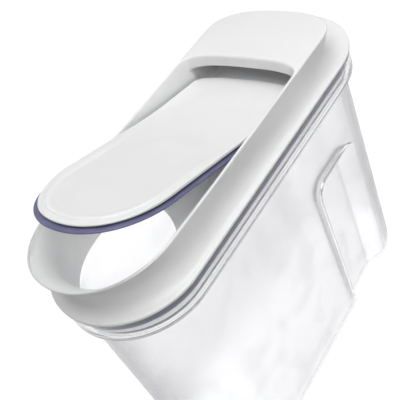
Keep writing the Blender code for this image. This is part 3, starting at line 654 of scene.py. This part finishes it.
# ---- lid gasket, swept along the skirt ---------------------------------------------
def gasket_sweep_tree():
    """Geometry nodes: a band and two fins swept along a closed path."""
    tree = bpy.data.node_groups.new("gasket_sweep", "GeometryNodeTree")
    sockets = tree.interface
    sockets.new_socket("Path", in_out="INPUT", socket_type="NodeSocketGeometry")
    sizes = {}
    for name in ("Band Thickness", "Band Height", "Fin Reach", "Fin Thickness",
                 "Fin Offset"):
        sizes[name] = sockets.new_socket(name, in_out="INPUT", socket_type="NodeSocketFloat")
    silicone = sockets.new_socket("Silicone", in_out="INPUT",
                                  socket_type="NodeSocketMaterial")
    sockets.new_socket("Gasket", in_out="OUTPUT", socket_type="NodeSocketGeometry")
    add, join = tree.nodes.new, tree.links.new
    given = add("NodeGroupInput")

    def bar(width, height, x, y):
        """A rounded rectangle in the profile's plane."""
        quad = add("GeometryNodeCurvePrimitiveQuadrilateral")
        join(width, quad.inputs["Width"])
        join(height, quad.inputs["Height"])
        fillet = add("GeometryNodeFilletCurve")
        fillet.mode = "POLY"
        join(quad.outputs["Curve"], fillet.inputs["Curve"])
        join(calculate(add, join, "MULTIPLY", height, 0.2), fillet.inputs["Radius"])
        fillet.inputs["Count"].default_value = 3
        place = add("ShaderNodeCombineXYZ")
        feed(join, place, (x, y))
        move = add("GeometryNodeTransform")
        join(fillet.outputs["Curve"], move.inputs["Geometry"])
        join(place.outputs["Vector"], move.inputs["Translation"])
        return move.outputs["Geometry"]

    band = given.outputs["Band Thickness"]
    fin_reach = given.outputs["Fin Reach"]
    fin_x = calculate(add, join, "MULTIPLY", fin_reach, 0.5)
    fin_y = given.outputs["Fin Offset"]
    profiles = add("GeometryNodeJoinGeometry")
    for part in (bar(band, given.outputs["Band Height"], 0.0, 0.0),
                 bar(fin_reach, given.outputs["Fin Thickness"], fin_x, fin_y),
                 bar(fin_reach, given.outputs["Fin Thickness"], fin_x,
                     calculate(add, join, "MULTIPLY", fin_y, -1.0))):
        join(part, profiles.inputs["Geometry"])

    curve = add("GeometryNodeMeshToCurve")
    join(given.outputs["Path"], curve.inputs["Mesh"])
    upright = add("GeometryNodeSetCurveNormal")
    upright.mode = "Z_UP"
    join(curve.outputs["Curve"], upright.inputs["Curve"])
    sweep = add("GeometryNodeCurveToMesh")
    join(upright.outputs["Curve"], sweep.inputs["Curve"])
    join(profiles.outputs["Geometry"], sweep.inputs["Profile Curve"])
    solid = add("GeometryNodeRealizeInstances")
    join(sweep.outputs["Mesh"], solid.inputs["Geometry"])
    finish = add("GeometryNodeSetMaterial")
    join(solid.outputs["Geometry"], finish.inputs["Geometry"])
    join(given.outputs["Silicone"], finish.inputs["Material"])
    result = add("NodeGroupOutput")
    join(finish.outputs["Geometry"], result.inputs["Gasket"])
    return tree, {name: socket.identifier for name, socket in sizes.items()}, \
        silicone.identifier


def make_lid_gasket(silicone):
    """Silicone ring on the skirt with two soft fins against the collar."""
    band = 1.2 * MM
    middle = inset_outline(SKIRT_GROOVE - GAP - band / 2)
    height = -GASKET_TOP_BELOW_RIM - GASKET_HEIGHT / 2
    shape = bmesh.new()
    loop = [shape.verts.new(point) for point in lid_ring(middle, height)]
    for start, end in zip(loop, loop[1:] + loop[:1]):
        shape.edges.new((start, end))
    mesh = bpy.data.meshes.new("lid_gasket_ring")
    shape.to_mesh(mesh)
    shape.free()
    gasket = new_object("lid_gasket_ring", mesh)
    tree, size_sockets, silicone_socket = gasket_sweep_tree()
    sweep = gasket.modifiers.new("sweep", "NODES")
    sweep.node_group = tree
    fin_reach = SKIRT_GROOVE - GAP - band / 2 - COLLAR_INNER - GAP
    sizes = {"Band Thickness": band, "Band Height": GASKET_HEIGHT,
             "Fin Reach": fin_reach, "Fin Thickness": 1.2 * MM,
             "Fin Offset": GASKET_HEIGHT * 0.25}
    for name, value in sizes.items():
        sweep[size_sockets[name]] = value
    sweep[silicone_socket] = silicone
    as_plain_mesh(gasket)
    shape = bmesh.new()
    shape.from_mesh(gasket.data)
    bmesh.ops.recalc_face_normals(shape, faces=shape.faces)
    shape.to_mesh(gasket.data)
    shape.free()
    shade(gasket.data)
    return gasket


# ---- door ------------------------------------------------------------------------
DOOR_RAYS = even_rays(-DOOR_FRONT_LENGTH + DOOR_FRONT_DEPTH, DOOR_REAR_LENGTH * 0.5, 32)
DOOR_TURN = Matrix.Translation(PIVOT) @ Matrix.Rotation(math.radians(-DOOR_OPEN_ANGLE), 4,
                                                        "X")


def door_surface(y):
    """Height of the door's surface over its pivot when closed; the rear leans up."""
    slope = math.tan(math.radians(DOOR_BEND))
    bend = slope * (y + DOOR_BEND_RUN) ** 2 / (4 * DOOR_BEND_RUN)
    lean = np.where(y < -DOOR_BEND_RUN, 0.0, np.where(y < DOOR_BEND_RUN, bend, slope * y))
    return DOOR_OVER_PIVOT + lean


def door_ring(grow, depth):
    """A ring of the open door below its surface; depth is a number or a function of y."""
    side, front, rear = grow if isinstance(grow, tuple) else (grow,) * 3
    outline = Outline(DOOR_HALF_WIDTH + side, -DOOR_FRONT_LENGTH - front,
                      DOOR_REAR_LENGTH + rear, DOOR_FRONT_DEPTH + front,
                      DOOR_REAR_DEPTH + rear, DOOR_FRONT_POWER, DOOR_REAR_POWER)
    points = outline.cut(DOOR_RAYS)
    if callable(depth):
        depth = depth(points[:, 1])
    heights = door_surface(points[:, 1]) - depth
    return [DOOR_TURN @ Vector((x, y, z)) for (x, y), z in zip(points, heights)]


def run_out(y, span):
    """1 at the door's front, falling to 0 over a span measured back from the front tip."""
    return 1.0 - smooth_step((y + DOOR_FRONT_LENGTH - span[0]) / (span[1] - span[0]))


def make_door_cover():
    """White top of the door: a ledge round the front, a crest and a dished middle."""
    low_edge, high_edge = 0.5 * MM, 0.7 * MM
    dish = LEDGE_WIDTH + RISER_RUN + CREST_WIDTH

    def ledge(left=1.0, fall=0.0):
        """Depth of what is left of the ledge, and of a fall below it, along the door."""
        return lambda y: LEDGE_DEPTH * run_out(y, LEDGE_RUN_OUT) * left + fall

    rings = [door_ring(-across, COVER_THICKNESS - up) for across, up in rounding(low_edge)]
    rings += [door_ring(-across, ledge(fall=down))
              for down, across in rounding(high_edge, 7)]
    rings += [door_ring(-high_edge - (LEDGE_WIDTH - high_edge) * share, ledge())
              for share in (0.35, 0.7, 1.0)]
    rings += [door_ring(-LEDGE_WIDTH - RISER_RUN * share,
                        ledge(left=1 - float(smooth_step(share))))
              for share in np.linspace(0.0, 1.0, 7)[1:]]
    rings.append(door_ring(-dish, 0.0))
    for share in np.linspace(0.0, 1.0, 9)[1:]:
        fall = DISH_DEPTH * float(smooth_step(share))
        rings.append(door_ring(-dish - DISH_RUN * share,
                               lambda y: fall * run_out(y, DISH_RUN_OUT)))
    return loft("white_door_cover", rings)


def make_door_gasket():
    """Silicone ring under the cover: a neck set back in shadow over a rounded lip."""
    top = COVER_THICKNESS + GAP
    low = top + SEAL_THICKNESS
    inner = -PLATEAU_INSET + GAP
    neck_low = top + SEAL_NECK_HEIGHT
    tip_radius = (low - neck_low) / 2
    rings = [door_ring(inner, low), door_ring(-SEAL_NECK_INSET, low)]
    for across, up in rounding(tip_radius, 9, math.pi):
        rings.append(door_ring(tuple(reach - across for reach in SEAL_REACH), low - up))
    rings += [door_ring(-SEAL_NECK_INSET + 0.2 * MM, neck_low),
              door_ring(-SEAL_NECK_INSET, neck_low - 0.2 * MM),
              door_ring(-SEAL_NECK_INSET, top), door_ring(inner, top)]
    return loft("door_gasket_ring", rings, closed_loop=True)


def boss_span():
    """Inner and outer x of a pivot boss on the liner."""
    outer = DOOR_HALF_WIDTH - LINER_INSET + GAP
    return outer - BOSS_LENGTH, outer


def make_door_liner():
    """Underside of the door: plate, plateau through the gasket and two pivot bosses."""
    seat = LINER_LOW - LINER_THICKNESS
    edge = 0.8 * MM
    rings = [door_ring(-LINER_INSET - across, LINER_LOW - up)
             for across, up in rounding(edge)]
    rings += [door_ring(-LINER_INSET, seat), door_ring(-PLATEAU_INSET, seat),
              door_ring(-PLATEAU_INSET - GAP, COVER_THICKNESS + GAP)]
    liner = loft("white_door_liner", rings)
    inner, outer = boss_span()
    for side, word in ((1, "right"), (-1, "left")):
        combine(liner, rod_along_x("boss_" + word, BOSS_RADIUS, side * inner, side * outer,
                                   PIVOT.y, PIVOT.z), "UNION")
        combine(liner, rod_along_x("bore_" + word, PIN_RADIUS + GAP, side * (inner + GAP),
                                   side * (outer + BOSS_LENGTH), PIVOT.y, PIVOT.z),
                "DIFFERENCE")
    return liner


# ---- tray ------------------------------------------------------------------------
def liner_rest_point():
    """The lowest rear corner of the open door, which lands on the tray."""
    y = DOOR_REAR_LENGTH - LINER_INSET
    place = DOOR_TURN @ Vector((0.0, y, float(door_surface(np.array(y))) - LINER_LOW))
    return place.y, place.z - RIM_HEIGHT


REST_Y, REST_HEIGHT = liner_rest_point()


def tray_floor(y):
    """Height of the tray's floor over the rim.

    Level at the front, then a fall under the pivot bosses to where the open door
    lands, and a fall from there to the rear."""
    front = PIVOT_HEIGHT + DOOR_OVER_PIVOT - LINER_LOW - TRAY_UNDER_DOOR
    under_boss = PIVOT_HEIGHT - BOSS_RADIUS - TRAY_UNDER_BOSS
    landing = REST_HEIGHT - REST_GAP
    if y < REST_Y:
        share = (y - PIVOT.y) / (REST_Y - PIVOT.y)
        return min(front, under_boss + (landing - under_boss) * share)
    share = min((y - REST_Y) / (HALF_LENGTH - LIP_INSETS[2] - REST_Y), 1.0)
    return landing + (TRAY_REAR_HEIGHT - landing) * share


def pour_edge(x, half_width):
    """Y of the tray's front edge: a round notch that opens towards the spout."""
    share = max(1.0 - (abs(x) / half_width) ** POUR_EDGE_POWER, 0.0)
    return TRAY_FRONT_Y - POUR_EDGE_DEPTH * (1 - share ** (1 / POUR_EDGE_POWER))


def make_lid_tray():
    """Tray that closes the lid under the door and carries the pivot ears."""
    outline = inset_outline(SKIRT_INNER + TRAY_CLEARANCE)
    half_width = outline.half_width
    wall = opening_outline(half_width, NECK_INSETS[1] + LID_WALL + 2 * GAP, HALF_LENGTH,
                           half_width)
    rear_y, rear_depth, _ = outline.rear
    columns, front_rows, rear_rows = 72, 24, 14
    rows = front_rows + rear_rows
    shape = bmesh.new()
    grid = {}
    for i in range(columns + 1):
        across = -math.cos(math.pi * i / columns)
        x = half_width * across
        front = pour_edge(x, half_width)
        rear = rear_y - rear_depth * (1 - math.sqrt(max(1 - across * across, 0.0)))
        for j in range(rows + 1):
            if j < front_rows:
                y = front + (REST_Y - front) * j / front_rows
                x = across * wall.cut(np.array([(y, 1.0, 0.0)]))[0, 0]
            else:
                y = REST_Y + (rear - REST_Y) * (j - front_rows) / rear_rows
                x = half_width * across
            z = RIM_HEIGHT + tray_floor(y)
            grid[i, j, 1] = shape.verts.new((x, y, z))
            grid[i, j, 0] = shape.verts.new((x, y, z - TRAY_THICKNESS))
    for i in range(columns):
        for j in range(rows):
            for k in (0, 1):
                shape.faces.new([grid[i, j, k], grid[i + 1, j, k],
                                 grid[i + 1, j + 1, k], grid[i, j + 1, k]])
        for j in (0, rows):
            shape.faces.new([grid[i, j, 0], grid[i + 1, j, 0],
                             grid[i + 1, j, 1], grid[i, j, 1]])
    for j in range(rows):
        for i in (0, columns):
            shape.faces.new([grid[i, j, 0], grid[i, j + 1, 0],
                             grid[i, j + 1, 1], grid[i, j, 1]])
    tray = finish_mesh("white_lid_tray", shape)

    step = rounded_block("rear_step", (STEP_LEFT_X, STEP_START_Y, RIM_HEIGHT),
                         (STEP_RIGHT_X, STEP_END_Y, RIM_HEIGHT + STEP_HEIGHT), 0.3 * MM)
    for vertex in step.data.vertices:
        if vertex.co.z < RIM_HEIGHT + STEP_HEIGHT / 2:
            vertex.co.z += tray_floor(vertex.co.y) - TRAY_THICKNESS / 2
    combine(tray, step, "UNION")
    inner = boss_span()[1] + GAP
    outer = inner + EAR_THICKNESS
    for side, word in ((1, "right"), (-1, "left")):
        low_x, high_x = sorted((side * inner, side * outer))
        post_low = RIM_HEIGHT + tray_floor(PIVOT.y) - TRAY_THICKNESS / 2
        combine(tray, rounded_block("ear_post_" + word,
                                    (low_x, PIVOT.y - BOSS_RADIUS, post_low),
                                    (high_x, PIVOT.y + BOSS_RADIUS, PIVOT.z), 0.2 * MM),
                "UNION")
        combine(tray, rod_along_x("ear_crown_" + word, BOSS_RADIUS * 0.99, low_x, high_x,
                                  PIVOT.y, PIVOT.z), "UNION")
        combine(tray, rod_along_x("ear_bore_" + word, PIN_RADIUS + GAP, low_x - BOSS_LENGTH,
                                  high_x + GAP, PIVOT.y, PIVOT.z), "DIFFERENCE")
    shade(tray.data, TRAY_CREASE_ANGLE)
    return tray


# ---- materials -------------------------------------------------------------------
def new_group(name, inputs, outputs):
    """A shader node group with float inputs and outputs; gives tree, ins and outs."""
    tree = bpy.data.node_groups.new(name, "ShaderNodeTree")
    for socket, value in inputs.items():
        made = tree.interface.new_socket(socket, in_out="INPUT",
                                         socket_type="NodeSocketFloat")
        made.default_value = value
    for socket in outputs:
        tree.interface.new_socket(socket, in_out="OUTPUT", socket_type="NodeSocketFloat")
    return tree, tree.nodes.new("NodeGroupInput"), tree.nodes.new("NodeGroupOutput")


def moulded_grain_group():
    """Fine grain and long soft waves of a moulded surface, as a height in metres."""
    tree, given, result = new_group(
        "moulded_grain", {"Grain Size": 0.0006, "Grain Depth": 1e-5, "Wave Size": 0.03,
                          "Wave Depth": 2e-5}, ("Height",))
    add, join = tree.nodes.new, tree.links.new
    place = add("ShaderNodeTexCoord")
    heights = []
    for size, depth, detail in (("Grain Size", "Grain Depth", 2.0),
                                ("Wave Size", "Wave Depth", 1.0)):
        noise = add("ShaderNodeTexNoise")
        noise.inputs["Detail"].default_value = detail
        join(place.outputs["Object"], noise.inputs["Vector"])
        join(calculate(add, join, "DIVIDE", 1.0, given.outputs[size]),
             noise.inputs["Scale"])
        heights.append(calculate(add, join, "MULTIPLY", noise.outputs["Fac"],
                                 given.outputs[depth]))
    join(calculate(add, join, "ADD", *heights), result.inputs["Height"])
    return tree


def handling_haze_group():
    """Patches where hands and washing have dulled the gloss, between two values."""
    tree, given, result = new_group(
        "handling_haze", {"Patch Size": 0.03, "Clean": 0.2, "Dulled": 0.3},
        ("Value", "Mask"))
    add, join = tree.nodes.new, tree.links.new
    place = add("ShaderNodeTexCoord")
    noise = add("ShaderNodeTexNoise")
    noise.inputs["Detail"].default_value = 4.0
    noise.inputs["Distortion"].default_value = 0.6
    join(place.outputs["Object"], noise.inputs["Vector"])
    join(calculate(add, join, "DIVIDE", 1.0, given.outputs["Patch Size"]),
         noise.inputs["Scale"])
    mask = add("ShaderNodeMapRange")
    mask.interpolation_type = "SMOOTHSTEP"
    mask.inputs["From Min"].default_value = 0.42
    mask.inputs["From Max"].default_value = 0.68
    join(noise.outputs["Fac"], mask.inputs["Value"])
    value = add("ShaderNodeMapRange")
    join(mask.outputs["Result"], value.inputs["Value"])
    join(given.outputs["Clean"], value.inputs["To Min"])
    join(given.outputs["Dulled"], value.inputs["To Max"])
    join(value.outputs["Result"], result.inputs["Value"])
    join(mask.outputs["Result"], result.inputs["Mask"])
    return tree


def new_material(name):
    """A material with its Principled shader and node helpers."""
    made = bpy.data.materials.new(name)
    made.use_nodes = True
    tree = made.node_tree
    return made, tree.nodes.new, tree.links.new, tree.nodes["Principled BSDF"]


def add_surface(add, join, shader, grain, haze):
    """Place the shared grain and haze groups in a material; gives the haze's mask."""
    texture = add("ShaderNodeGroup")
    texture.node_tree = GRAIN
    for socket, value in grain.items():
        texture.inputs[socket].default_value = value
    bump = add("ShaderNodeBump")
    bump.inputs["Distance"].default_value = 1.0
    join(texture.outputs["Height"], bump.inputs["Height"])
    join(bump.outputs["Normal"], shader.inputs["Normal"])
    dulling = add("ShaderNodeGroup")
    dulling.node_tree = HAZE
    for socket, value in haze.items():
        dulling.inputs[socket].default_value = value
    join(dulling.outputs["Value"], shader.inputs["Roughness"])
    return dulling.outputs["Mask"]


def tint_by(add, join, shader, mask, clean, colour_at_full_mask):
    """Base colour that runs between two colours by a mask; gives the mixed colour."""
    mix = add("ShaderNodeMix")
    mix.data_type = "RGBA"
    mix.inputs["A"].default_value = (*clean, 1.0)
    mix.inputs["B"].default_value = (*colour_at_full_mask, 1.0)
    join(mask, mix.inputs["Factor"])
    join(mix.outputs["Result"], shader.inputs["Base Color"])
    return mix.outputs["Result"]


def white_plastic(name, clean, colour_at_full_mask, clean_gloss, dulled_gloss):
    """Satin white moulded plastic."""
    made, add, join, shader = new_material(name)
    mask = add_surface(add, join, shader,
                       {"Grain Size": 0.0005, "Grain Depth": 6e-6, "Wave Size": 0.035,
                        "Wave Depth": 5e-5},
                       {"Patch Size": 0.04, "Clean": clean_gloss, "Dulled": dulled_gloss})
    tint_by(add, join, shader, mask, clean, colour_at_full_mask)
    shader.inputs["IOR"].default_value = 1.49
    shader.inputs["Subsurface Weight"].default_value = 0.5
    shader.inputs["Subsurface Radius"].default_value = (1.0, 1.0, 1.0)
    shader.inputs["Subsurface Scale"].default_value = 4 * MM
    return made


EDGE_ON_PAINTED_SHADE = (0.10, 0.10, 0.19)      # painted shade: deep lavender where the clear wall is seen edge on
EDGE_ON_PAINTED_SHADE_POWER = 2.8


def clear_plastic():
    """Clear plastic: polished collar, softly hazy body, painted lavender shade where seen edge
    on.
    """
    made, add, join, shader = new_material("clear_plastic")
    mask = add_surface(add, join, shader,
                       {"Grain Size": 0.004, "Grain Depth": 4e-6, "Wave Size": 0.05,
                        "Wave Depth": 3e-5},
                       {"Patch Size": 0.035, "Clean": 0.20, "Dulled": 0.27})
    hazy = shader.inputs["Roughness"].links[0].from_socket
    place = add("ShaderNodeTexCoord")
    height = add("ShaderNodeSeparateXYZ")
    join(place.outputs["Object"], height.inputs["Vector"])
    collar = add("ShaderNodeMapRange")
    shoulder = RIM_HEIGHT - COLLAR_HEIGHT
    collar.inputs["From Min"].default_value = shoulder - 3 * MM
    collar.inputs["From Max"].default_value = shoulder + 2 * MM
    join(height.outputs["Z"], collar.inputs["Value"])
    polish = add("ShaderNodeMix")
    join(collar.outputs["Result"], polish.inputs["Factor"])
    join(hazy, polish.inputs["A"])
    polish.inputs["B"].default_value = 0.04
    join(polish.outputs["Result"], shader.inputs["Roughness"])

    tint = tint_by(add, join, shader, mask, (0.98, 0.98, 0.985), (0.96, 0.96, 0.97))
    # Painted shade: the base colour darkens towards deep lavender as the wall turns edge on.
    edge_on = add("ShaderNodeLayerWeight")
    edge_on.inputs["Blend"].default_value = 0.5
    depth = calculate(add, join, "POWER", edge_on.outputs["Facing"], EDGE_ON_PAINTED_SHADE_POWER)
    edge_shaded_colour = tint_by(add, join, shader, depth, (1.0, 1.0, 1.0), EDGE_ON_PAINTED_SHADE)
    join(tint, edge_shaded_colour.node.inputs["A"])
    shader.inputs["Transmission Weight"].default_value = 1.0
    shader.inputs["IOR"].default_value = 1.45
    shader.inputs["Coat Weight"].default_value = 0.1
    shader.inputs["Coat Roughness"].default_value = 0.04
    rays = add("ShaderNodeLightPath")
    solid = add("ShaderNodeMapRange")
    solid.inputs["To Min"].default_value = 1.0
    solid.inputs["To Max"].default_value = 0.10
    join(rays.outputs["Is Shadow Ray"], solid.inputs["Value"])
    join(solid.outputs["Result"], shader.inputs["Alpha"])
    return made


def violet_silicone():
    """Soft blue-violet silicone with a dull sheen."""
    made, add, join, shader = new_material("violet_silicone")
    mask = add_surface(add, join, shader,
                       {"Grain Size": 0.0004, "Grain Depth": 1.2e-5, "Wave Size": 0.02,
                        "Wave Depth": 4e-5},
                       {"Patch Size": 0.012, "Clean": 0.36, "Dulled": 0.5})
    tint_by(add, join, shader, mask, (0.125, 0.125, 0.225), (0.15, 0.15, 0.255))
    shader.inputs["Subsurface Weight"].default_value = 0.25
    shader.inputs["Subsurface Radius"].default_value = (0.6, 0.5, 1.0)
    shader.inputs["Subsurface Scale"].default_value = 1.5 * MM
    return made


def drawn_steel():
    """Steel pins with a fine grain."""
    made, add, join, shader = new_material("drawn_steel")
    mask = add_surface(add, join, shader,
                       {"Grain Size": 0.0002, "Grain Depth": 3e-6, "Wave Size": 0.004,
                        "Wave Depth": 2e-6},
                       {"Patch Size": 0.002, "Clean": 0.22, "Dulled": 0.38})
    tint_by(add, join, shader, mask, (0.62, 0.62, 0.63), (0.5, 0.5, 0.51))
    shader.inputs["Metallic"].default_value = 1.0
    return made


GRAIN = moulded_grain_group()
HAZE = handling_haze_group()


# ---- studio ----------------------------------------------------------------------
SURROUNDINGS_LEVEL = 0.27
SURROUNDINGS_LEAN = (0.08, 0.07, 0.12)
STUDIO_LIGHTS = (
    # name, place, diameter, watts
    ("overhead_light", (0.26, 0.02, 1.38), 1.3, 12.0),
    ("left_light", (-1.30, -0.05, 0.56), 0.6, 2.5),
    ("main_light", (0.85, -0.45, 0.95), 0.4, 1.6),
)
LIGHT_TARGET = Vector((0.0, 0.0, 0.15))


def make_surroundings():
    """Pale surroundings, brighter overhead, to the right and behind the bin."""
    world = bpy.data.worlds.new("studio")
    world.use_nodes = True
    bpy.context.scene.world = world
    add, join = world.node_tree.nodes.new, world.node_tree.links.new
    background = world.node_tree.nodes["Background"]
    place = add("ShaderNodeTexCoord")
    lean = add("ShaderNodeVectorMath")
    lean.operation = "DOT_PRODUCT"
    lean.inputs[1].default_value = SURROUNDINGS_LEAN
    join(place.outputs["Generated"], lean.inputs[0])
    level = calculate(add, join, "ADD", lean.outputs["Value"], SURROUNDINGS_LEVEL)
    level.node.use_clamp = True
    rays = add("ShaderNodeLightPath")
    strength = add("ShaderNodeMix")
    join(rays.outputs["Is Camera Ray"], strength.inputs["Factor"])
    join(level, strength.inputs["A"])
    strength.inputs["B"].default_value = 1.0
    background.inputs["Color"].default_value = (1.0, 1.0, 1.0, 1.0)
    join(strength.outputs["Result"], background.inputs["Strength"])


def make_studio():
    """Plain pale floor, pale surroundings and soft lights."""
    scene = bpy.context.scene
    scene.view_settings.view_transform = "Standard"
    make_surroundings()

    shape = bmesh.new()
    bmesh.ops.create_grid(shape, x_segments=2, y_segments=2, size=4.0)
    mesh = bpy.data.meshes.new("studio_floor")
    shape.to_mesh(mesh)
    shape.free()
    floor = new_object("studio_floor", mesh)
    floor.visible_diffuse = False
    paint, _, _, shader = new_material("pale_floor")
    shader.inputs["Base Color"].default_value = (0.5, 0.5, 0.5, 1.0)
    shader.inputs["Roughness"].default_value = 0.9
    shader.inputs["Specular IOR Level"].default_value = 0.1
    shader.inputs["Emission Color"].default_value = (1.0, 1.0, 1.0, 1.0)
    shader.inputs["Emission Strength"].default_value = 0.64
    floor.data.materials.append(paint)

    for name, place, size, power in STUDIO_LIGHTS:
        data = bpy.data.lights.new(name, "AREA")
        data.shape = "DISK"
        data.size = size
        data.energy = power
        light = bpy.data.objects.new(name, data)
        aim = LIGHT_TARGET - Vector(place)
        turn = aim.to_track_quat("-Z", "Y").to_matrix().to_4x4()
        light.matrix_world = Matrix.Translation(place) @ turn
        scene.collection.objects.link(light)


# ---- assembly --------------------------------------------------------------------
def place_piece(piece, body, node, finish=None):
    """Give a piece its finish and body; it stands for one CAD node."""
    if finish:
        piece.data.materials.clear()
        piece.data.materials.append(finish)
    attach(piece, body)
    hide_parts(node)


def main():
    """Set up the studio and put every piece on its body."""
    make_studio()
    outer_white = white_plastic("white_plastic", (0.86, 0.865, 0.86), (0.84, 0.84, 0.84),
                                0.30, 0.38)
    # Painted light: the tray and door liner get a lighter copy of the white plastic, so the
    # shaded recess under the door reads brighter.
    inner_white_painted_lighter = white_plastic("white_inner_plastic", (0.92, 0.92, 0.93),
                                (0.90, 0.90, 0.91), 0.36, 0.46)
    silicone = violet_silicone()
    place_piece(make_container(), "container", "container",
                clear_plastic())
    place_piece(make_lid_shell(), "lid", "lid_shell", outer_white)
    place_piece(make_lid_gasket(silicone), "lid", "lid_gasket")
    place_piece(make_lid_tray(), "lid", "lid_tray", inner_white_painted_lighter)
    place_piece(make_door_cover(), "door", "door_cover", outer_white)
    place_piece(make_door_gasket(), "door", "door_gasket", silicone)
    place_piece(make_door_liner(), "door", "door_liner", inner_white_painted_lighter)
    steel = drawn_steel()
    for name in ("hinge_pin_right", "hinge_pin_left"):
        for material_slot in frame["nodes"][name].material_slots:
            material_slot.material = steel


main()
